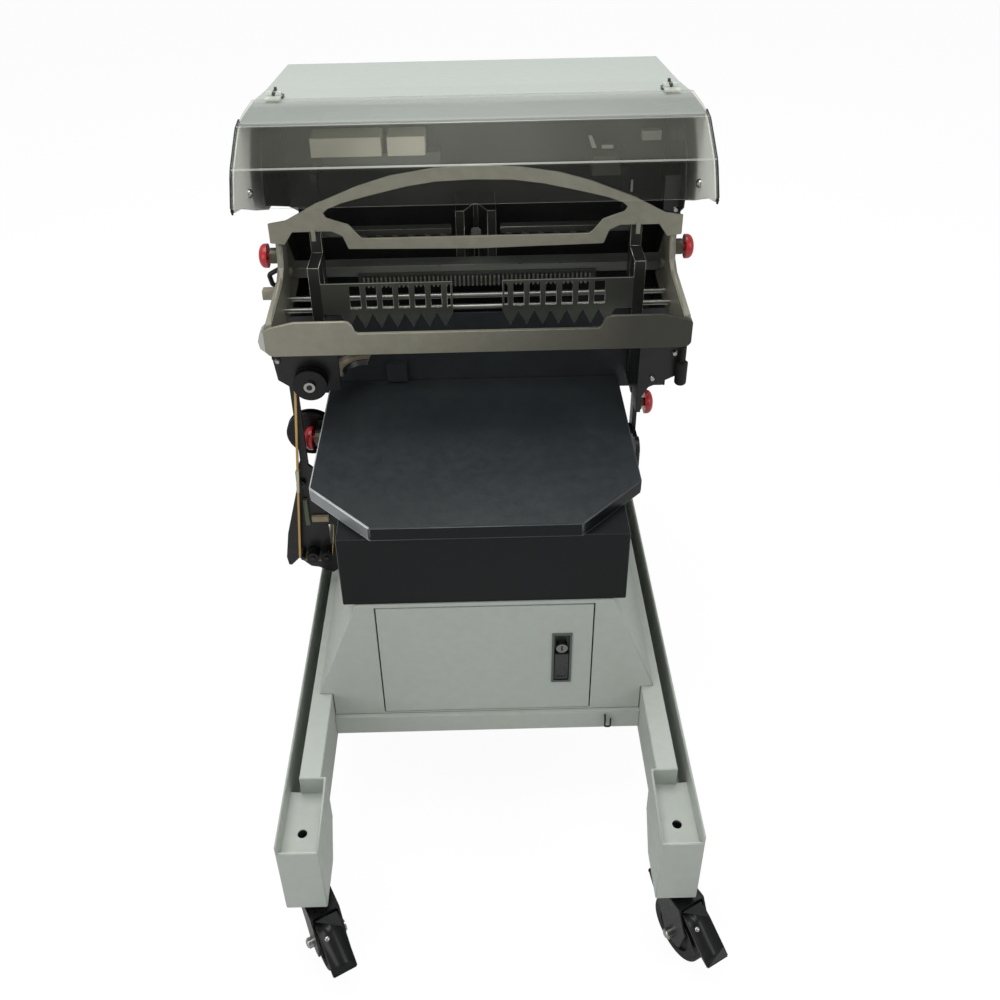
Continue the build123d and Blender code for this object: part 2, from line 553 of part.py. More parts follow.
save("left_bracket", left_bracket())
save("guide_pulley", pulley(*PULLEY, 27, PULLEY_GROOVE, 5, -11.5, 2.5))
save("tie_reel", pulley(*REEL, REEL_R, REEL_GROOVE, 5, 58.5, 73))
save("front_roller", pulley(*ROLLER_A, 11, GROOVE, 4, -12, 6))
save("rear_roller", pulley(*ROLLER_B, 11, GROOVE, 4, -12, 6))


def lever():
    arm = [(-315, 502), (-306, 498), (-318, 430), (-326, 352), (-330, 342), (-345, 326), (-350, 327), (-352, 345)]
    arm += [(-343, 400)]
    solid = plate_xz(arm, 1, 5) + rod_y(PIVOT[0], 1, 5, PIVOT[1], 8)
    return whole(solid - rod_y(PIVOT[0], 0, 6, PIVOT[1], 4 + FIT))


save("tension_lever", lever())


def tape():
    """Tie tape down from the guide pulley, under the pin and both rollers, and back up to the reel."""
    top = PULLEY[0] - PULLEY_GROOVE - 0.6
    pin = GUIDE_PIN[0] - 3.6 - 0.6
    low = ROLLER_A[1] - GROOVE - 0.6
    left = plate_xz([(top, PULLEY[1]), (top - 1.2, PULLEY[1]), (pin - 1.2, 350), (pin, 350)], -7.2, -1.8)
    line = [(-321, low + 3.1), (-303, low), (-279, low)]
    under = plate_xz(line + [(x, z - 1.2) for x, z in reversed(line)], -7.2, -1.8)
    bottom = Pos(ROLLER_B[0] + GROOVE + 1.1, -5.4, 352) * Rectangle(1, 5)
    edge = REEL[0] + REEL_GROOVE + 0.8
    high = Pos(edge, 66, 505) * Rectangle(1, 5)
    right = loft([bottom, high]) + block(edge - 0.5, edge + 0.5, 63.5, 68.5, 504.9, REEL[1])
    return whole(left), whole(under), whole(right)


save("tie_tape", *tape())


# Curved guide trough that leads the tape behind the table
def chute():
    centre = (-190.0, 62.0)
    sector = plate_xy([(0, 0), (-90, -8), (-90, 90), (8, 90)], 660, 720)
    ring = Cylinder(62, 3) - Cylinder(34, 4)
    lips = (Cylinder(62, 10) - Cylinder(60, 11)) + (Cylinder(36, 10) - Cylinder(34, 11))
    trough = Pos(0, 0, 686) * ring + Pos(0, 0, 689) * lips
    trough = Pos(centre[0], centre[1], 0) * (trough & sector)
    stay = block(-234, -226, 90, TABLE_BACK, 678, 686)
    return whole(trough + stay)


save("tie_chute", chute())


# Right side: bracket plate under the rail, its button arm, and the rubber buffer
def right_bracket():
    edge = TABLE_HALF + 4     # edge of the bracket beside the table
    outline = [(edge, RAIL_LOW), (edge, 650), (edge + 18, 682), (312, 702), (328, 712), (328, RAIL_LOW)]
    plate = plate_xz(outline, 8, 14)
    plate += block(edge, 328, 8, 22, RAIL_LOW - 12, RAIL_LOW)
    plate += block(edge, edge + 8, 8, TABLE_BACK, 634, 750)
    plate -= block(edge - 1, edge + 9, 90, TABLE_BACK - 20, 650, 720)
    plate -= block(edge - 1, edge + 9, 36, 68, 633, 648)
    return whole(plate)


save("right_bracket", right_bracket())
buffer_body = rod_z(320, -2, 694, 734, 9.5)
buffer_body = fillet(buffer_body.edges().sort_by(Axis.Z)[0], 5) + rod_z(320, -2, 733, RAIL_LOW, 4)
save("rubber_buffer", whole(buffer_body))
ARM_IN = TABLE_HALF + 5
ARM_OUT = TABLE_HALF + 12
arm = block(ARM_IN, ARM_OUT, 38, 66, 560, 646) + block(BOX_HALF, ARM_IN + 1, 46, 58, 565, 580)
arm += block(ARM_IN, ARM_OUT, -18, 18, 510, 570) + rod_x(ARM_IN, ARM_OUT, 0, 570, 18)
arm += block(ARM_IN, ARM_OUT, 0, 52, 520, 580)
save("side_arm", whole(arm))


# Screws seen on the brackets and on the right side plate
def screw(x, y, z):
    return whole(rod_y(x, y - 3, y, z, 5) - rod_y(x, y - 4, y - 1.5, z, 2.5))


save("bracket_screws", screw(-317, 8, 748), screw(309, 8, 746), screw(TABLE_HALF + 27, 8, 700),
     screw(316, ARCH_Y + 4, 934.2))

# Short cable of the left upper button, a loop held at both ends by the throat plate
cable_path = FilletPolyline((-SIDE_MID, 157, 838), (-344, 157, 826), (-341, 160, 806), (-SIDE_MID, 164, 799), radius=6)
cable = sweep(Plane(origin=(-SIDE_MID, 157, 838), z_dir=(-22, 0, -12)) * Circle(4), path=cable_path)
cable -= block(-SIDE_MID, -SIDE_MID + 9, 140, 180, 780, 850)
save("button_cable", whole(cable))
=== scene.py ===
import bpy
import bmesh
import json
import math
from mathutils import Matrix, Vector


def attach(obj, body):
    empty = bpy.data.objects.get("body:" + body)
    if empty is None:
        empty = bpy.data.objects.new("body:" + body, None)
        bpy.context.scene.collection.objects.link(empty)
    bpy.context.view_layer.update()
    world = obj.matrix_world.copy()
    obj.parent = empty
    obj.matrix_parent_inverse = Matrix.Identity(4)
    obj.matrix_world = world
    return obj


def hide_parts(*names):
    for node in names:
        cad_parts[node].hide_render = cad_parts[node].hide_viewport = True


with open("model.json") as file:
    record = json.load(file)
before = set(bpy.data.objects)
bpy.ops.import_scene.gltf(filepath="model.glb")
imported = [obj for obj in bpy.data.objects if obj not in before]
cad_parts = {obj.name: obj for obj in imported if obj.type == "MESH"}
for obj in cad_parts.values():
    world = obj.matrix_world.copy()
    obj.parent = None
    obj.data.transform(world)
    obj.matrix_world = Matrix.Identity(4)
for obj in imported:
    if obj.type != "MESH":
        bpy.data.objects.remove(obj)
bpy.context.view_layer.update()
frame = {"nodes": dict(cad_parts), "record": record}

camera_data = bpy.data.cameras.new("camera")
camera = bpy.data.objects.new("camera", camera_data)
bpy.context.scene.collection.objects.link(camera)
bpy.context.scene.camera = camera
eye = Vector((0.003628, -1.363167, 1.569131))
yaw, pitch, roll = 0.005, 0.584, -0.021
forward = Vector((math.sin(yaw) * math.cos(pitch), math.cos(yaw) * math.cos(pitch), -math.sin(pitch)))
level = Vector((math.cos(yaw), -math.sin(yaw), 0))
above = level.cross(forward)
right = math.cos(roll) * level + math.sin(roll) * above
up = math.cos(roll) * above - math.sin(roll) * level
camera.matrix_world = Matrix.Translation(eye) @ Matrix((right, up, -forward)).transposed().to_4x4()
camera_data.sensor_width = 36.0
camera_data.lens = 36.743
camera_data.shift_x = 0.0134
camera_data.shift_y = -0.0937
camera_data.clip_start = 0.05


# Legs: two long welded channels in pale grey-green powder coat, each with a box tube on the
# inner side, an open channel outside it, and a deeper foot at both ends for the caster.
class Tree:
    """A node tree that is written as expressions."""

    def __init__(self, nodes, links):
        self.nodes, self.links = nodes, links

    def node(self, kind, settings=None, inputs=None, out=0):
        made = self.nodes.new(kind)
        for key, value in (settings or {}).items():
            setattr(made, key, value)
        for key, value in (inputs or {}).items():
            self.put(made.inputs[key], value)
        return Value(self, made.outputs[out])

    def put(self, socket, value):
        if isinstance(value, Value):
            self.links.new(value.out, socket)
        elif isinstance(value, tuple) and len(value) == 3 and socket.type == "RGBA":
            socket.default_value = (*value, 1.0)
        else:
            socket.default_value = value

    def ramp(self, value, *stops):
        """Colour ramp; each stop is a place with a grey or a colour."""
        made = self.nodes.new("ShaderNodeValToRGB")
        ramp = made.color_ramp
        while len(ramp.elements) < len(stops):
            ramp.elements.new(0.5)
        for element, (place, tone) in zip(ramp.elements, stops):
            element.position = place
            element.color = (*tone, 1) if isinstance(tone, tuple) else (tone, tone, tone, 1)
        self.put(made.inputs[0], value)
        return Value(self, made.outputs[0])

    def mix(self, factor, a, b):
        """Mix of two colours: a Mix node has its colours at 6 and 7, and their mix at 2."""
        made = self.nodes.new("ShaderNodeMix")
        made.data_type = "RGBA"
        for index, value in ((0, factor), (6, a), (7, b)):
            self.put(made.inputs[index], value)
        return Value(self, made.outputs[2])


class Value:
    """One output of a node; arithmetic on it adds Math nodes."""

    def __init__(self, tree, out):
        self.tree, self.out = tree, out

    def math(self, operation, a, b=0.0):
        return self.tree.node("ShaderNodeMath", {"operation": operation}, {0: a, 1: b})

    def __add__(self, other):
        return self.math("ADD", self, other)

    def __sub__(self, other):
        return self.math("SUBTRACT", self, other)

    def __rsub__(self, other):
        return self.math("SUBTRACT", other, self)

    def __mul__(self, other):
        return self.math("MULTIPLY", self, other)

    def clamp(self):
        return self.tree.node("ShaderNodeClamp", None, {0: self, 1: 0.0, 2: 1.0})

    def largest(self, other):
        return self.math("MAXIMUM", self, other)

    __radd__, __rmul__ = __add__, __mul__


def linear(*rgb):
    """Colour written as it is read off a screen, 0 to 255, as the shader wants it."""
    return tuple(((v / 255 + 0.055) / 1.055) ** 2.4 if v > 10 else v / 255 / 12.92 for v in rgb)


def scaled(colour, share):
    return tuple(min(1.0, c * share) for c in colour)


OBJECT_COORDINATES = 3


def surface(name):
    """New material with its tree, its object coordinates and its main shader."""
    made = bpy.data.materials.new(name)
    made.use_nodes = True
    made.node_tree.nodes.clear()
    tree = Tree(made.node_tree.nodes, made.node_tree.links)
    place = tree.node("ShaderNodeTexCoord", None, None, OBJECT_COORDINATES)
    shader = made.node_tree.nodes.new("ShaderNodeBsdfPrincipled")
    output = made.node_tree.nodes.new("ShaderNodeOutputMaterial")
    made.node_tree.links.new(shader.outputs[0], output.inputs[0])
    return made, tree, place, shader


def noise(tree, place, scale, detail=3.0, rough=0.55):
    return tree.node("ShaderNodeTexNoise", None, {"Vector": place, "Scale": scale, "Detail": detail,
                                                  "Roughness": rough})


def coated(name, colour, rough, dust=None, dust_share=0.0, metallic=0.0, grain=0.0, grain_scale=900.0,
           mottle=0.08, coat=0.0, specular=0.5, fade=None):
    """A painted, plated or moulded finish: large soft mottling, dust, and a fine grain.
    A fade (left, right, share) darkens it towards the right."""
    cloud_scale, speck_scale, grain_depth = 7.0, 60.0, 0.0004
    made, tree, place, shader = surface(name)
    cloud = noise(tree, place, cloud_scale, 4.0)
    speck = noise(tree, place, speck_scale, 3.0)
    shade = tree.ramp(cloud, (0.3, scaled(colour, 1 - mottle)), (0.7, scaled(colour, 1 + mottle)))
    if dust:
        share = tree.ramp(cloud * 0.6 + speck * 0.4, (0.42, 0.0), (0.68, dust_share))
        shade = tree.mix(share, shade, dust)
    if fade:
        left, right, end_share = fade
        across = tree.node("ShaderNodeSeparateXYZ", None, {0: place}, 0)
        reach = ((across - left) * (1 / (right - left))).clamp()
        shade = tree.mix(reach, shade, scaled(colour, end_share))
    tree.put(shader.inputs["Base Color"], shade)
    tree.put(shader.inputs["Roughness"], (rough + (speck - 0.5) * 0.16 + (cloud - 0.5) * 0.12).clamp())
    tree.put(shader.inputs["Metallic"], metallic)
    tree.put(shader.inputs["Coat Weight"], coat)
    tree.put(shader.inputs["Coat Roughness"], 0.12)
    tree.put(shader.inputs["Specular IOR Level"], specular)
    if grain:
        fine = noise(tree, place, grain_scale, 2.0)
        bump = tree.node("ShaderNodeBump", None, {"Strength": grain, "Distance": grain_depth, "Height": fine})
        tree.put(shader.inputs["Normal"], bump)
    return made


body_of = {node: body for body, nodes in frame["record"]["behaviour"]["bodies"].items() for node in nodes}
slot_of = {part["node"]: part["material_slot"] for part in frame["record"]["subparts"]}


def piece(name, mesh, material, body, slot, *nodes):
    """Hands a finished mesh to the frame: its material, its body and what it stands for; the slot it is given
    is not used.
    """
    made = bpy.data.objects.new(name, mesh)
    bpy.context.scene.collection.objects.link(made)
    for one in material if isinstance(material, (list, tuple)) else (material,):
        mesh.materials.append(one)
    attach(made, body)
    if nodes:
        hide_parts(*nodes)
    return made


def as_mesh(name, bm):
    mesh = bpy.data.meshes.new(name)
    bm.normal_update()
    bm.to_mesh(mesh)
    bm.free()
    return mesh


def soften(bm, width, shortest, edge_slot):
    """Broken edges all round, smooth on curved faces and flat elsewhere. Edges shorter than the given
    length stay sharp. Turns between faces are in radians, the area in square metres."""
    slight_turn, clear_turn, small_area = 0.02, 0.6, 0.004
    for face in bm.faces:
        turned = [e.calc_face_angle(0.0) for e in face.edges if len(e.link_faces) == 2]
        face.smooth = any(slight_turn < a < clear_turn for a in turned) and face.calc_area() < small_area
    if width:
        sharp = [e for e in bm.edges if len(e.link_faces) == 2 and e.calc_face_angle(0.0) > clear_turn
                 and e.calc_length() > shortest]
        made = bmesh.ops.bevel(bm, geom=sharp, offset=width, segments=2, affect="EDGES", clamp_overlap=False,
                               material=edge_slot)
        for face in made["faces"]:
            face.smooth = True


SAME_POINT = 0.00001


def dressed(node, material, width=0.0006, shortest=0.004, edge_slot=-1, pick=None, pick_edge=None):
    """Copy of a CAD piece with merged points and broken edges, which then stands for it. The function
    pick gives the number of the material for a face from its centre and its normal, and pick_edge
    does so for a broken edge from its centre."""
    bm = bmesh.new()
    bm.from_mesh(frame["nodes"][node].data)
    bmesh.ops.remove_doubles(bm, verts=bm.verts, dist=SAME_POINT)
    if pick:
        for face in bm.faces:
            face.material_index = pick(face.calc_center_median(), face.normal)
    soften(bm, width, shortest, edge_slot)
    if pick_edge:
        for face in bm.faces:
            if face.material_index == edge_slot:
                face.material_index = pick_edge(face.calc_center_median())
    name = node + "_finished"
    return piece(name, as_mesh(name, bm), material, body_of[node], slot_of[node], node)


def add_box(bm, low, high, slot=0):
    """Box between two corners, in metres."""
    made = bmesh.ops.create_cube(bm, size=1.0)["verts"]
    for v in made:
        v.co = Vector([(a + b) / 2 + (b - a) * c for a, b, c in zip(low, high, v.co)])
    for face in {f for v in made for f in v.link_faces}:
        face.material_index = slot


FRAME_GREY = linear(182, 188, 181)
frame_paint = coated("pale_powder_coat", FRAME_GREY, 0.42, dust=linear(150, 148, 132), dust_share=0.22,
                     grain=0.12, mottle=0.035)
for node in ("left_leg", "right_leg"):
    dressed(node, frame_paint, 0.0011)

# Cross beam: a box tube welded between the legs under the front of the cabinet, with a bent
# wire hook for the mains lead screwed to its face.
dressed("cross_beam", frame_paint, 0.001)
dressed("cable_hook", coated("hook_wire", linear(52, 52, 50), 0.35, metallic=0.8), 0.0)

# Casters: black nylon stem casters with a bent cover over the wheel, a rubber tread, a zinc axle
# bolt and, at the front, a broad brake pedal with a rivet. All four trail the same way.
bright_steel = coated("bright_steel", linear(178, 178, 174), 0.25, metallic=1.0, mottle=0.05)
black_nylon = coated("black_nylon", linear(11, 12, 12), 0.3, dust=linear(70, 70, 66), dust_share=0.05,
                     grain=0.12, grain_scale=500.0, mottle=0.12, specular=0.35)
tread_rubber = coated("tread_rubber", linear(15, 15, 16), 0.5, dust=linear(80, 78, 72), dust_share=0.12,
                      grain=0.25, grain_scale=700.0, specular=0.3)
TRAIL_TURN = math.radians(28)
CASTER_PLACE = {"left": -0.270, "right": 0.270, "front": -0.472, "rear": 0.502}
AXLE_ENDS, AXLE_TOP = 0.0232, 0.07
PEDAL_SLOPE = 0.58
DOMES = {"pedal_rivet": ("brake", 0.004, (-0.009, -0.079, 0.1052), Matrix.Rotation(PEDAL_SLOPE, 4, "X")),
         "axle_cap": ("fork", 0.0072, (-0.0298, -0.040, 0.050), Matrix.Rotation(math.pi / 2, 4, "Y"))}


def caster_frame(corner):
    """Matrix from a caster's own frame, wheel trailing towards -Y, to its place on the machine."""
    end, side = corner.split("_")
    return (Matrix.Translation((CASTER_PLACE[side], CASTER_PLACE[end], 0))
            @ Matrix.Rotation(TRAIL_TURN, 4, "Z"))


def on_axle(spot):
    """Whether a spot in a caster's own frame lies on an end of its axle bolt."""
    return abs(spot.x) > AXLE_ENDS and spot.z < AXLE_TOP


for corner in ("front_left", "front_right", "rear_left", "rear_right"):
    own = caster_frame(corner).inverted()
    dressed(f"{corner}_caster_fork", (black_nylon, bright_steel), 0.0008,
            pick=lambda centre, normal: int(on_axle(own @ centre)))
    dressed(f"{corner}_caster_wheel", tread_rubber, 0.0006)
    if corner.startswith("front"):
        dressed(f"{corner}_caster_brake", black_nylon, 0.0014)
        for kind, (carrier, radius, spot, tilt) in DOMES.items():
            name = f"{corner}_{kind}"
            bm = bmesh.new()
            bmesh.ops.create_uvsphere(bm, u_segments=16, v_segments=8, radius=radius)
            bmesh.ops.scale(bm, vec=(1, 1, 0.5), verts=bm.verts)
            for face in bm.faces:
                face.smooth = True
            seat = caster_frame(corner) @ Matrix.Translation(spot) @ tilt
            bmesh.ops.transform(bm, verts=bm.verts, matrix=seat)
            piece(name, as_mesh(name, bm), bright_steel, f"{corner}_{carrier}", "bright_steel")

# Cabinet: a flared sheet steel pedestal with a flush door hung on two pins on the left, and a
# flush pull latch with a round lock on the right.
dressed("cabinet", frame_paint, 0.0008)
dressed("cabinet_door", frame_paint, 0.0006)
latch_grey = coated("latch_grey", linear(84, 90, 84), 0.38, mottle=0.1)
latch_dark = coated("latch_dark", linear(46, 50, 48), 0.3, mottle=0.1)
latch_metal = coated("latch_lock", linear(130, 132, 126), 0.22, metallic=0.95)
LOCK_X, LOCK_Z, LOCK_R, LOCK_FACE = 0.1185, 0.378, 0.0098, -0.2495
KEYWAY_WIDTH, KEYWAY_HEIGHT, KEYWAY_DEPTH = 0.0022, 0.0096, 0.0007
LATCH_RECESS = -0.2472
dressed("door_latch", (latch_grey, latch_dark, latch_metal), 0.0004,
        pick=lambda centre, normal: 2 if math.hypot(centre.x - LOCK_X, centre.z - LOCK_Z) < LOCK_R
        else int(centre.y > LATCH_RECESS))
dressed("latch_paddle", latch_dark, 0.0006)
# Keyway: a thin dark box on the lock face, a painted shade for the key slot.
bm = bmesh.new()
add_box(bm, (LOCK_X - KEYWAY_WIDTH / 2, LOCK_FACE, LOCK_Z - KEYWAY_HEIGHT / 2),
        (LOCK_X + KEYWAY_WIDTH / 2, LOCK_FACE + KEYWAY_DEPTH, LOCK_Z + KEYWAY_HEIGHT / 2))
piece("keyway_shade", as_mesh("keyway_shade", bm), tread_rubber, body_of["door_latch"], slot_of["door_latch"])

# Control box and shelf: folded sheet with a dark slate powder coat, lighter along the folded edges
# and on the left bevel and palest along the left end, which is knocked most: partly wear, partly a
# painted highlight. Upright faces and the whole control box take a darker copy of the coat, a painted
# shade. The wall behind them has the same coat.
SLATE = linear(38, 42, 45)
slate_coat = coated("slate_powder_coat", SLATE, 0.38, dust=linear(72, 74, 74), dust_share=0.12, grain=0.3,
                    grain_scale=700.0, mottle=0.05)
# Darker copy of the slate coat on upright faces and the control box: a painted shade.
slate_painted_shade = coated("slate_painted_shade_faces", linear(14, 18, 20), 0.42, grain=0.3, grain_scale=700.0,
                       mottle=0.08, specular=0.25)
# Lighter finishes on the edges, the left bevel and the left end: partly wear, partly a painted highlight.
slate_wear_highlight = coated("slate_wear_highlight_edge", linear(66, 70, 73), 0.34, dust=SLATE, dust_share=0.8, mottle=0.2)
rubbed_highlit_slate = coated("rubbed_highlit_slate_bevel", linear(138, 141, 144), 0.36, dust=SLATE, dust_share=0.2,
                      mottle=0.1)
end_edge_wear_highlight = coated("slate_end_edge_wear_highlight", linear(198, 200, 202), 0.3, dust=linear(110, 112, 114), dust_share=0.6)
WORN_BRIGHT_END = -0.166
dressed("control_box", (slate_painted_shade, slate_wear_highlight), 0.0012, edge_slot=1)


def shelf_face(centre, normal):
    """Finish of a face of the shelf: lighter on the left bevel, wear and a painted highlight; slate on top;
    darker where upright, a painted shade.
    """
    if normal.x < -0.5 and normal.y < -0.5:
        return 2
    return 0 if normal.z > 0.5 else 3


dressed("table_top", (slate_coat, slate_wear_highlight, rubbed_highlit_slate, slate_painted_shade, end_edge_wear_highlight), 0.0022, edge_slot=1,
        pick=shelf_face, pick_edge=lambda centre: 4 if centre.x < WORN_BRIGHT_END else 1)
for node in ("back_wall", "wall_block"):
    dressed(node, slate_coat, 0.0006)

# Head: thin black sheets on both sides and a dark inner wall with two beige plates on it. Inside
# the black sheets, thick blasted steel throat plates carry the rods and the rail.
black_coat = coated("black_coat", linear(18, 18, 19), 0.36, dust=linear(60, 57, 50), dust_share=0.16,
                    grain=0.2, mottle=0.15)
BLASTED = linear(152, 149, 134)
blasted = coated("blasted_plate", BLASTED, 0.42, metallic=0.25, dust=linear(104, 100, 86),
                 dust_share=0.4, grain=0.25, mottle=0.08)
blasted_rail = coated("blasted_rail", BLASTED, 0.36, metallic=0.3, dust=linear(120, 112, 88), dust_share=0.4,
                      grain=0.25, mottle=0.1, fade=(-0.10, 0.24, 0.16))
for node in ("left_side_plate", "right_side_plate", "inner_wall"):
    dressed(node, black_coat, 0.0005)
for node in ("left_throat_plate", "right_throat_plate"):
    dressed(node, blasted, 0.0008)
dressed("beige_plates", coated("beige_board", linear(232, 226, 204), 0.5), 0.0006)

# Rail and arch: thick blasted steel plates, the lower and upper lips of the mouth. The rail is
# darker towards the right.
guard_steel = coated("guard_steel", linear(206, 206, 200), 0.3, metallic=0.6)
GUARD_END = -0.3312
dressed("front_rail", (blasted_rail, guard_steel), 0.001,
        pick=lambda centre, normal: 1 if centre.x < GUARD_END else 0)
dressed("arch_plate", blasted, 0.0008)

# Mechanism in the mouth: beam, guide rods and the two carriages with their combs, in dark steel
# whose comb plates are worn lighter than their columns. The clip head sits behind them.
dark_steel = coated("dark_steel", linear(54, 55, 52), 0.36, metallic=0.5, mottle=0.15)
comb_steel = coated("comb_steel", linear(84, 86, 80), 0.34, metallic=0.5, mottle=0.12)
beam_steel = coated("beam_steel", linear(124, 126, 120), 0.36, metallic=0.3, mottle=0.1)
# Pale steel for the broken edges, partly wear and partly a painted highlight, and for the fronts of the fine
# comb's teeth, a painted highlight.
steel_wear_highlight = coated("steel_wear_highlight_edge", linear(168, 168, 158), 0.3, metallic=0.8, mottle=0.1)
COLUMN_X = 0.2475
for node in ("left_carriage", "right_carriage"):
    dressed(node, (dark_steel, steel_wear_highlight, comb_steel), 0.0005, edge_slot=1, shortest=0.006,
            pick=lambda centre, normal: 2 if abs(centre.x) < COLUMN_X else 0)
dressed("upper_beam", (beam_steel, steel_wear_highlight), 0.0008, edge_slot=1)
dressed("clip_head", (dark_steel, steel_wear_highlight), 0.0008, edge_slot=1)
dressed("clip_ram", bright_steel, 0.0004)
dressed("guide_rods", coated("rod_steel", linear(150, 150, 144), 0.3, metallic=0.9), 0.0)

# Fine comb: a bar across the mouth with fifty-three small upright teeth, and further down the
# button-head screws of the brackets; both rows of like shapes come from the same small tree.
def repeated(name, spots, kind, sizes, turn, material):
    """Plain mesh with one shape at each spot, made by a node tree with named sizes."""
    group = bpy.data.node_groups.new(name + "_tree", "GeometryNodeTree")
    group.interface.new_socket(name="Geometry", in_out="INPUT", socket_type="NodeSocketGeometry")
    for label in sizes:
        group.interface.new_socket(name=label, in_out="INPUT", socket_type="NodeSocketFloat")
    group.interface.new_socket(name="Geometry", in_out="OUTPUT", socket_type="NodeSocketGeometry")
    tree = Tree(group.nodes, group.links)
    given = group.nodes.new("NodeGroupInput")
    size = {label: Value(tree, given.outputs[label]) for label in sizes}
    if kind == "box":
        edges = tree.node("ShaderNodeCombineXYZ", None,
                          {0: size["Width"], 1: size["Depth"], 2: size["Height"]})
        shape = tree.node("GeometryNodeMeshCube", None, {"Size": edges})
    else:
        shape = tree.node("GeometryNodeMeshCone", None,
                          {"Vertices": 20, "Radius Top": size["Top radius"],
                           "Radius Bottom": size["Radius"], "Depth": size["Height"]})
    points = Value(tree, given.outputs["Geometry"])
    placed = tree.node("GeometryNodeInstanceOnPoints", None,
                       {"Points": points, "Instance": shape, "Rotation": turn})
    real = tree.node("GeometryNodeRealizeInstances", None, {0: placed})
    painted = tree.node("GeometryNodeSetMaterial", None, {"Geometry": real, "Material": material})
    out = group.nodes.new("NodeGroupOutput")
    tree.put(out.inputs["Geometry"], painted)
    dots = bpy.data.meshes.new(name + "_spots")
    dots.from_pydata(spots, [], [])
    holder = bpy.data.objects.new(name + "_holder", dots)
    bpy.context.scene.collection.objects.link(holder)
    modifier = holder.modifiers.new("repeat", "NODES")
    modifier.node_group = group
    for item in group.interface.items_tree:
        if item.in_out == "INPUT" and item.name in sizes:
            modifier[item.identifier] = sizes[item.name]
    mesh = bpy.data.meshes.new_from_object(holder.evaluated_get(bpy.context.evaluated_depsgraph_get()))
    holder.modifiers.remove(modifier)
    bpy.data.objects.remove(holder)
    mesh.materials.clear()
    return mesh


TOOTH_COUNT, TOOTH_PITCH = 53, 0.0073
TOOTH_LEFT, TOOTH_Y, TOOTH_Z = -0.190, 0.190, 0.7995
TOOTH_SIZES = {"Width": 0.0026, "Depth": 0.009, "Height": 0.019}
BAR_LOW, BAR_HIGH = (-0.200, 0.1932, 0.788), (0.200, 0.199, 0.812)
UNTURNED = (0.0, 0.0, 0.0)
teeth = [(TOOTH_LEFT + i * TOOTH_PITCH, TOOTH_Y, TOOTH_Z) for i in range(TOOTH_COUNT)]
comb = bmesh.new()
comb.from_mesh(repeated("fine_teeth", teeth, "box", TOOTH_SIZES, UNTURNED, comb_steel))
# The fronts of the teeth take the pale steel, a painted highlight.
for face in comb.faces:
    face.material_index = 1 if face.normal.y < -0.5 else 0
add_box(comb, BAR_LOW, BAR_HIGH)
piece("fine_comb_finished", as_mesh("fine_comb_finished", comb), (comb_steel, steel_wear_highlight),
      body_of["fine_comb"], slot_of["fine_comb"], "fine_comb")

# Hood: light grey folded sheet with two cheeks, edged with black rubber along the front of each
# cheek. Behind it hang small pale parts that show through the window; the slanted pale strip among
# them is a painted highlight.
HOOD_GREY = linear(180, 186, 180)
hood_paint = coated("hood_paint", HOOD_GREY, 0.38, dust=linear(160, 160, 150), dust_share=0.12,
                    grain=0.1, mottle=0.02)
# Inner faces of the cheeks: a near-white copy of the hood's colour, a painted light where little light falls
# in.
cheek_painted_light = coated("cheek_painted_light", linear(240, 241, 232), 0.45, mottle=0.02)
CHEEK_INSIDE = 0.3405
dressed("hood", (hood_paint, cheek_painted_light), 0.0008,
        pick=lambda centre, normal: int(abs(centre.x) > CHEEK_INSIDE and normal.x * centre.x < -0.1))
dressed("window_hinges", coated("hinge_steel", linear(96, 98, 96), 0.35, metallic=0.7), 0.0002)
dressed("hood_bolts", bright_steel, 0.0003)


def add_prism(bm, near, far, slot=0):
    """Solid between two faces of four corners, which go round the same way."""
    made = [bm.verts.new(corner) for corner in (*near, *far)]
    for loop in ((0, 1, 2, 3), (7, 6, 5, 4), (0, 4, 5, 1), (1, 5, 6, 2), (2, 6, 7, 3), (3, 7, 4, 0)):
        bm.faces.new([made[i] for i in loop]).material_index = slot


CHEEK_FRONT = [(0.135, 1.0945), (0.107, 1.0905), (0.075, 1.0735), (0.041, 1.0545), (0.0315, 1.045),
               (0.015, 1.021), (0.007, 1.009), (0.012, 1.001)]
EDGING_HALF = 0.0035
EDGING_INNER, EDGING_OUTER = 0.3452, 0.3476
bm = bmesh.new()
for side in (-1, 1):
    for (y0, z0), (y1, z1) in zip(CHEEK_FRONT, CHEEK_FRONT[1:]):
        along = Vector((0, y1 - y0, z1 - z0)).normalized()
        across = Vector((0, along.z, -along.y)) * EDGING_HALF
        inner, outer = ([Vector((side * x, y, z)) + sign * across
                         for (y, z), sign in (((y0, z0), 1), ((y1, z1), 1), ((y1, z1), -1), ((y0, z0), -1))]
                        for x in (EDGING_INNER, EDGING_OUTER))
        add_prism(bm, inner, outer)
bmesh.ops.recalc_face_normals(bm, faces=bm.faces)
piece("cheek_edging", as_mesh("cheek_edging", bm), tread_rubber, "machine", "wheel_rubber")

inside_grey = coated("inside_grey", linear(84, 84, 76), 0.4)
inside_pale = coated("inside_pale", linear(190, 188, 176), 0.45)
WALL_FRONT = 0.3148
LONG_BOX = (-0.262, 0.285, 0.962), (-0.057, WALL_FRONT, 0.988)
SHORT_BOX = (0.198, 0.285, 0.941), (0.247, WALL_FRONT, 0.974)
UPRIGHT_STRIP = (0.2615, 0.262, 0.920), (0.2645, 0.266, 0.940)
WALL_PLATE = (0.2815, 0.300, 0.995), (0.3130, WALL_FRONT, 1.011)
LOW_BLOCK = (0.213, 0.290, 0.986), (0.232, 0.2925, 0.992)
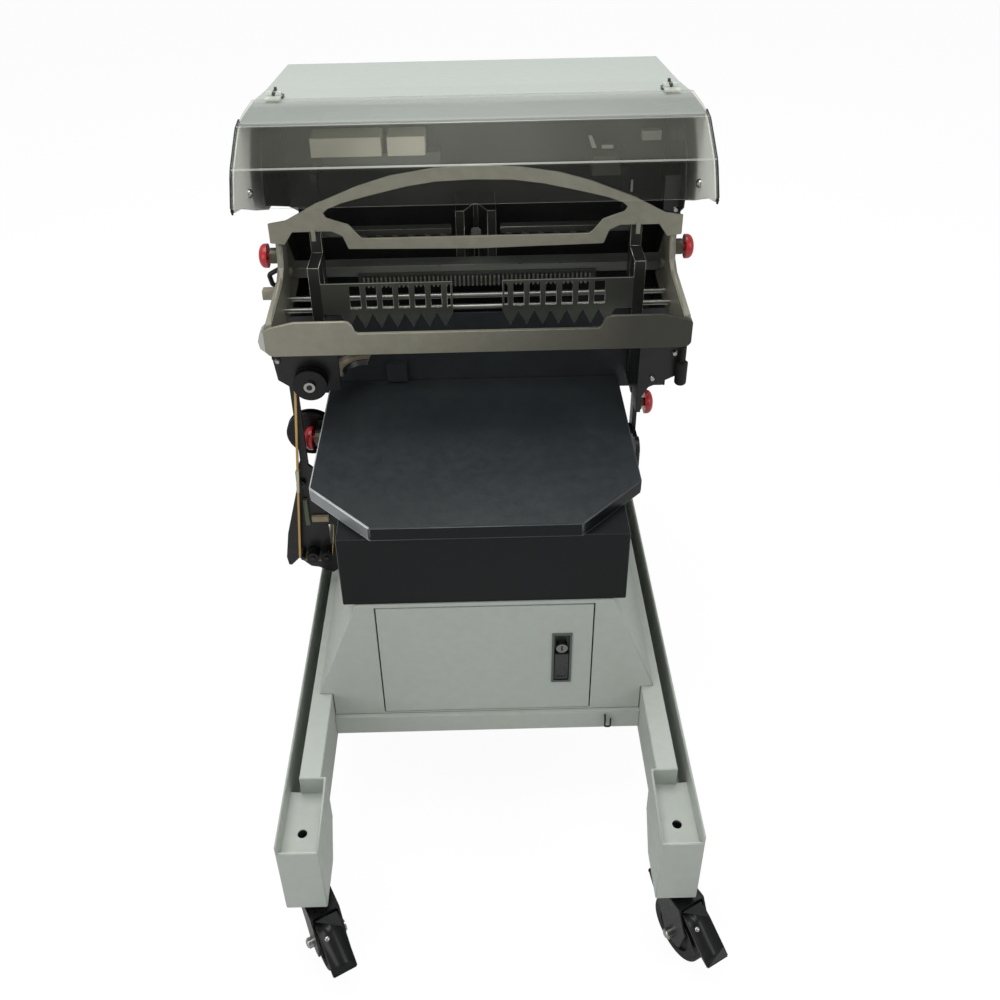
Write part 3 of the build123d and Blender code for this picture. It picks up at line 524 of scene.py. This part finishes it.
# The slanted pale strip is a painted highlight seen through the window.
HIGHLIGHT_STRIP_FRONT, HIGHLIGHT_STRIP_BACK = 0.2940, 0.2962
HIGHLIGHT_STRIP_OUTLINE = [(0.197, 0.986), (0.205, 0.986), (0.196, 1.007), (0.190, 1.007)]
bm = bmesh.new()
for (low, high), slot in ((LONG_BOX, 0), (SHORT_BOX, 0), (UPRIGHT_STRIP, 1), (WALL_PLATE, 1), (LOW_BLOCK, 1)):
    add_box(bm, low, high, slot)
add_prism(bm, *([(x, y, z) for x, z in HIGHLIGHT_STRIP_OUTLINE] for y in (HIGHLIGHT_STRIP_FRONT, HIGHLIGHT_STRIP_BACK)), 1)
bmesh.ops.recalc_face_normals(bm, faces=bm.faces)
piece("inside_parts_and_highlight", as_mesh("inside_parts_and_highlight", bm), (inside_grey, inside_pale), "machine", "zinc_plate")

# Window: one sheet of clear acrylic, hot-bent twice over the mouth and slightly on the roof, where
# it hangs on two tabs. It is hazy on the upper flat and clear on the lower one. Over the roof flat it
# is darker and denser, a painted shade, and the fronts of its bends and its cut edges are pale and
# denser, a painted highlight.
UPPER_FLAT_Z, UPPER_RISE = 1.052, 120.0
ROOF_FLAT_Z, ROOF_RISE = 1.094, 900.0
made, tree, place, shader = surface("clear_acrylic")
height = tree.node("ShaderNodeSeparateXYZ", None, {0: place}, 2)
upper_flat = ((height - UPPER_FLAT_Z) * UPPER_RISE).clamp()
# Share of the painted shade over the roof flat, which darkens and thickens the sheet there.
roof_shade_share = ((height - ROOF_FLAT_Z) * ROOF_RISE).clamp()
cloud = noise(tree, place, 5.0, 3.0)
clear_haze, upper_haze, roof_shade_alpha = 0.006 + cloud * 0.012, 0.02 + cloud * 0.06, 0.17
haze = clear_haze + upper_flat * upper_haze + roof_shade_share * roof_shade_alpha
tree.put(shader.inputs["Base Color"], tree.mix(roof_shade_share, linear(200, 202, 186), linear(150, 154, 148)))
tree.put(shader.inputs["Alpha"], haze.clamp())
tree.put(shader.inputs["Roughness"], 0.1)
clear_acrylic = made
# Pale, denser finish for the bends and cut edges, a painted highlight; the tabs and hinge barrels share it.
made, tree, place, shader = surface("acrylic_bright_highlight")
tree.put(shader.inputs["Base Color"], linear(228, 232, 222))
tree.put(shader.inputs["Alpha"], 0.42)
tree.put(shader.inputs["Roughness"], 0.2)
acrylic_bright_highlight = made

SHEET_T = 0.0026
WINDOW_HALF = 0.345
MIDDLE = [(0.0025, 1.0105), (0.0348, 1.0562), (0.1060, 1.0948), (0.1610, 1.0978), (0.2370, 1.0948)]
BEND_R = 0.006
HIGHLIGHT_STRETCHES = 14  # of the path, from the front edge: both bends and the start of the third


def rounded(points, radius, steps=5):
    """Points of a path in depth and height with its corners rounded, each with a mark that says
    whether the stretch after it lies in a bend."""
    path = [(Vector(points[0]), False)]
    for before, corner, after in zip(points, points[1:], points[2:]):
        a = (Vector(before) - Vector(corner)).normalized()
        b = (Vector(after) - Vector(corner)).normalized()
        half = a.angle(b) / 2
        start = Vector(corner) + a * radius / math.tan(half)
        stop = Vector(corner) + b * radius / math.tan(half)
        for i in range(steps + 1):
            t = i / steps
            spot = start * (1 - t) ** 2 + Vector(corner) * 2 * t * (1 - t) + stop * t * t
            path.append((spot, i < steps))
    path.append((Vector(points[-1]), False))
    return path


bm = bmesh.new()
path = rounded(MIDDLE, BEND_R)
rows = []
for i, (spot, _) in enumerate(path):
    ahead = path[min(i + 1, len(path) - 1)][0] - path[max(i - 1, 0)][0]
    across = Vector((-ahead.y, ahead.x)).normalized() * SHEET_T / 2
    rows.append([[bm.verts.new((x, spot.x + s * across.x, spot.y + s * across.y))
                  for x in (-WINDOW_HALF, WINDOW_HALF)] for s in (1, -1)])
for i, (a, b) in enumerate(zip(rows, rows[1:])):
    bent = path[i][1]
    for k, flip in ((0, False), (1, True)):
        loop = [a[k][0], b[k][0], b[k][1], a[k][1]]
        face = bm.faces.new(loop[::-1] if flip else loop)
        face.material_index = 1 if bent and k == 0 and i < HIGHLIGHT_STRETCHES else 0
        face.smooth = True
    for k in (0, 1):
        loop = [a[0][k], a[1][k], b[1][k], b[0][k]]
        bm.faces.new(loop if k == 0 else loop[::-1]).material_index = 1
for row in (rows[0], rows[-1]):
    bm.faces.new([row[0][0], row[0][1], row[1][1], row[1][0]]).material_index = 1
bmesh.ops.recalc_face_normals(bm, faces=bm.faces)
HINGE_X, HINGE_Y, HINGE_Z = 0.312, 0.253, 1.100
BARREL_R = 0.004
TAB_HALF, TAB_GAP_HALF = 0.012, 0.003
TAB_FRONT, TAB_BACK, TAB_LOW, TAB_HIGH = HINGE_Y - 0.026, HINGE_Y - 0.010, 1.0966, 1.099
EAR_FRONT, EAR_BACK, EAR_LOW, EAR_HIGH = HINGE_Y - 0.012, HINGE_Y - 0.003, 1.0968, 1.1018
for x in (-HINGE_X, HINGE_X):
    add_box(bm, (x - TAB_HALF, TAB_FRONT, TAB_LOW), (x + TAB_HALF, TAB_BACK, TAB_HIGH), 1)
    for low, high in ((x - TAB_HALF, x - TAB_GAP_HALF), (x + TAB_GAP_HALF, x + TAB_HALF)):
        add_box(bm, (low, EAR_FRONT, EAR_LOW), (high, EAR_BACK, EAR_HIGH), 1)
        seat = Matrix.Translation(((low + high) / 2, HINGE_Y, HINGE_Z)) @ Matrix.Rotation(math.pi / 2, 4, "Y")
        barrel = bmesh.ops.create_cone(bm, cap_ends=True, segments=20, radius1=BARREL_R, radius2=BARREL_R,
                                       depth=high - low, matrix=seat)
        for face in {f for v in barrel["verts"] for f in v.link_faces}:
            face.material_index = 1
piece("window_finished", as_mesh("window_finished", bm), (clear_acrylic, acrylic_bright_highlight), "window",
      slot_of["window"], "window")

# Push buttons: glossy red mushroom heads on metal collars; the left upper one has a short loop of
# black cable.
button_red = coated("button_red", linear(186, 26, 34), 0.3, mottle=0.08, coat=0.3)
for node in ("left_upper_button", "right_upper_button", "left_lower_button", "right_lower_button"):
    dressed(node, button_red, 0.0004)
dressed("button_collars", coated("collar_metal", linear(92, 88, 74), 0.35, metallic=0.6), 0.0003)
dressed("button_cable", black_nylon, 0.0)

# Feed side: black bracket with a small green block and a beige bar, guide pulley with a ring bolt,
# tie reel, brown tape, tension lever, two rollers and the curved trough. The black bracket, arm and
# rubber buffer on the right side are made alike.
block_green = coated("block_green", linear(96, 100, 84), 0.45)
bar_beige = coated("bar_beige", linear(150, 138, 112), 0.45)
BOLT_BACK, BOLT_LOW = 0.0029, 0.69
BLOCKS_BACK, BLOCKS_RIGHT, BLOCKS_LOW, BLOCKS_HIGH = 0.0225, -0.268, 0.4159, 0.4725
GREEN_LEFT, GREEN_RIGHT = -0.3096, -0.3019
BEIGE_LEFT, BEIGE_LOW = -0.2981, 0.4229


def bracket_part(centre, normal):
    """Finish of a face of the bracket: 3 on the pulley's bolt, 1 on the green block, 2 on the bar."""
    if centre.y < BOLT_BACK and centre.z > BOLT_LOW:
        return 3
    if centre.y > BLOCKS_BACK or not BLOCKS_LOW < centre.z < BLOCKS_HIGH or centre.x > BLOCKS_RIGHT:
        return 0
    if GREEN_LEFT < centre.x < GREEN_RIGHT:
        return 1
    return 2 if centre.x > BEIGE_LEFT and centre.z > BEIGE_LOW else 0


dressed("left_bracket", (black_coat, block_green, bar_beige, bright_steel), 0.0005, pick=bracket_part)
for node in ("right_bracket", "side_arm", "tension_lever"):
    dressed(node, black_coat, 0.0005)
for node in ("guide_pulley", "tie_reel", "front_roller", "rear_roller"):
    dressed(node, black_nylon, 0.0003)
dressed("rubber_buffer", tread_rubber, 0.0)
tape_brown = coated("tie_tape_brown", linear(206, 166, 98), 0.4)
tape_pale = coated("tie_tape_pale", linear(206, 200, 176), 0.45)
dressed("tie_tape", tape_brown, 0.0)
PULLEY_X, PULLEY_Z = -0.268, 0.712
TAPE_TOP, TAPE_END = (-0.2906, PULLEY_Z), (-0.3252, 0.350)


def along_tape(z):
    """Point of the tape's front run at a height, in width and height."""
    share = (TAPE_TOP[1] - z) / (TAPE_TOP[1] - TAPE_END[1])
    return TAPE_TOP[0] + (TAPE_END[0] - TAPE_TOP[0]) * share, z


def strip(bm, top, bottom, left, right, front, back, slot=0):
    """Slanting strip between two points in width and height."""
    near, far = ([(top[0] + left, y, top[1]), (top[0] + right, y, top[1]),
                  (bottom[0] + right, y, bottom[1]), (bottom[0] + left, y, bottom[1])]
                 for y in (front, back))
    add_prism(bm, near, far, slot)


# A paler stretch lies over the middle of the tape's front run.
RUN_TOP, RUN_END = along_tape(0.700), along_tape(0.352)
PALE_TOP, PALE_END = along_tape(0.541), along_tape(0.496)
bm = bmesh.new()
strip(bm, RUN_TOP, RUN_END, left=-0.0034, right=0.0001, front=0.0076, back=0.0134)
strip(bm, PALE_TOP, PALE_END, left=-0.0040, right=0.0007, front=0.0072, back=0.0138, slot=1)
bmesh.ops.recalc_face_normals(bm, faces=bm.faces)
piece("tape_front", as_mesh("tape_front", bm), (tape_brown, tape_pale), "machine", "tape_brown")
chute_metal = coated("chute_metal", linear(150, 138, 116), 0.32, metallic=0.4)
CHUTE_RIM, CHUTE_BAND, BAND_HALF = 0.6905, 0.689, 0.004


def chute_highlight_face(centre, normal):
    """Bright steel on the rim of the trough and on the upright faces of the band under it, a painted
    highlight.
    """
    return int(centre.z > CHUTE_RIM or abs(centre.z - CHUTE_BAND) < BAND_HALF and abs(normal.z) < 0.5)


dressed("tie_chute", (chute_metal, bright_steel), 0.0003, pick=chute_highlight_face)

# Bolt of the guide pulley: a bright socket screw that is turned into the left bracket. Its socket, a
# dark disc of painted shade, shows as the middle of a bright ring.
SOCKET_R, SOCKET_DEPTH, SOCKET_Y = 0.0046, 0.0008, -0.0023
seat = Matrix.Translation((PULLEY_X, SOCKET_Y, PULLEY_Z)) @ Matrix.Rotation(math.pi / 2, 4, "X")
bm = bmesh.new()
bmesh.ops.create_cone(bm, cap_ends=True, segments=20, radius1=SOCKET_R, radius2=SOCKET_R,
                      depth=SOCKET_DEPTH, matrix=seat)
piece("socket_shade", as_mesh("socket_shade", bm), black_coat, "machine", "black_paint")

# Screws: bright button-head screws, three through the front flanges of the two brackets and one
# in the right upright of the head.
FLANGE_Y, UPRIGHT_Y = 0.0215, 0.1485
SCREW_SPOTS = [(-0.317, FLANGE_Y, 0.748), (0.309, FLANGE_Y, 0.746), (0.277, FLANGE_Y, 0.700),
               (0.316, UPRIGHT_Y, 0.9342)]
SCREW_SIZES = {"Radius": 0.005, "Top radius": 0.0032, "Height": 0.003}
FACING_FRONT = (math.pi / 2, 0.0, 0.0)
screws = repeated("screw_heads", SCREW_SPOTS, "cone", SCREW_SIZES, FACING_FRONT, bright_steel)
piece("bracket_screws_finished", screws, bright_steel, body_of["bracket_screws"], slot_of["bracket_screws"],
      "bracket_screws")

# Studio: pale floor with a white surround, one broad soft lamp overhead and a weak one on either
# side. The camera sees the floor lit to white; the machine mirrors a darker room.
FLOOR_SIZE = 20.0
FLOOR_GREY, FLOOR_GLOW, GLOW_SHARE = (0.62, 0.62, 0.62), 1.08, 0.87
WHITE, ROOM_TINT, ROOM_LIGHT = (1.0, 1.0, 1.0), (0.97, 1.0, 0.99), 0.40


def seen_directly(tree):
    """One for rays from the camera, also through the window, and nought for all others."""
    rays = tree.nodes.new("ShaderNodeLightPath")
    from_camera = Value(tree, rays.outputs["Is Camera Ray"])
    through_window = Value(tree, rays.outputs["Is Transmission Ray"])
    return from_camera.largest(through_window)


bm = bmesh.new()
bmesh.ops.create_grid(bm, x_segments=1, y_segments=1, size=FLOOR_SIZE)
floor = bpy.data.objects.new("floor", as_mesh("floor", bm))
bpy.context.scene.collection.objects.link(floor)
made, tree, place, shader = surface("floor_white")
tree.put(shader.inputs["Base Color"], FLOOR_GREY)
tree.put(shader.inputs["Roughness"], 0.9)
tree.put(shader.inputs["Specular IOR Level"], 0.0)
glow = tree.node("ShaderNodeEmission", None, {"Color": WHITE, "Strength": FLOOR_GLOW})
both = tree.node("ShaderNodeMixShader", None,
                 {0: seen_directly(tree) * GLOW_SHARE, 1: Value(tree, shader.outputs[0]), 2: glow})
tree.links.new(both.out, next(n for n in tree.nodes if n.bl_idname == "ShaderNodeOutputMaterial").inputs[0])
floor.data.materials.append(made)

world = bpy.data.worlds.new("studio")
bpy.context.scene.world = world
world.use_nodes = True
world.node_tree.nodes.clear()
tree = Tree(world.node_tree.nodes, world.node_tree.links)
white = tree.node("ShaderNodeBackground", None, {"Color": WHITE, "Strength": 1.0})
dim = tree.node("ShaderNodeBackground", None, {"Color": ROOM_TINT, "Strength": ROOM_LIGHT})
sky = tree.node("ShaderNodeMixShader", None, {0: seen_directly(tree), 1: dim, 2: white})
output = tree.nodes.new("ShaderNodeOutputWorld")
tree.links.new(sky.out, output.inputs[0])


def lamp(name, spot, aim, size, power):
    """Soft rectangular lamp at a spot, turned to a point; its power is in watts."""
    data = bpy.data.lights.new(name, "AREA")
    data.shape = "RECTANGLE"
    data.size, data.size_y = size
    data.energy = power
    made = bpy.data.objects.new(name, data)
    bpy.context.scene.collection.objects.link(made)
    made.location = spot
    made.rotation_euler = (Vector(aim) - Vector(spot)).to_track_quat("-Z", "Y").to_euler()


lamp("overhead", (-0.3, 0.2, 3.4), (0.0, 0.0, 0.5), (3.2, 2.4), 82.0)
lamp("right_fill", (2.6, -1.6, 2.0), (0.0, 0.0, 0.6), (1.6, 2.0), 19.0)
lamp("left_fill", (-2.4, -2.2, 1.4), (0.0, 0.0, 0.6), (1.6, 2.0), 21.0)

bpy.context.scene.view_settings.view_transform = "Standard"
